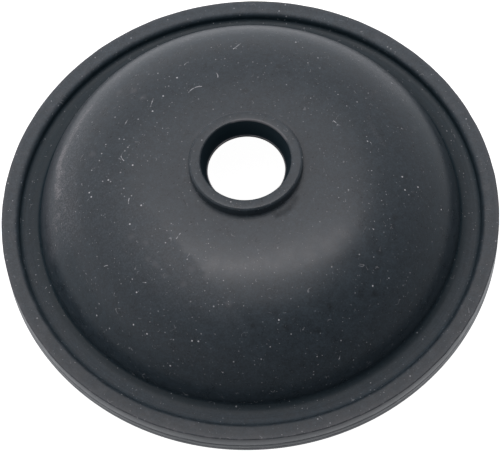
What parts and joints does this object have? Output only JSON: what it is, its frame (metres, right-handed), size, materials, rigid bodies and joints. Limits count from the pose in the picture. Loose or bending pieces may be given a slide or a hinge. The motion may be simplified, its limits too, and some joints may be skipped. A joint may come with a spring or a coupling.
{
  "type": "exhaust valve bellows",
  "caption": "Round moulded rubber diaphragm with a thick clamping rim, a thin domed wall and a short collar around its central bore.",
  "frame": {"origin": "middle of the flat underside of the rim, on the part's axis", "axes": "+Z along the part's axis, from the rim's underside towards the collar; the part is the same all round, so +X and +Y have no meaning of their own"},
  "size_m": [0.0704, 0.0704, 0.0181],
  "materials": {
    "rubber": "matte charcoal black moulded rubber with fine dust"
  },
  "bodies": {
    "root": {"bellows": "rubber"}
  },
  "joints": []
}
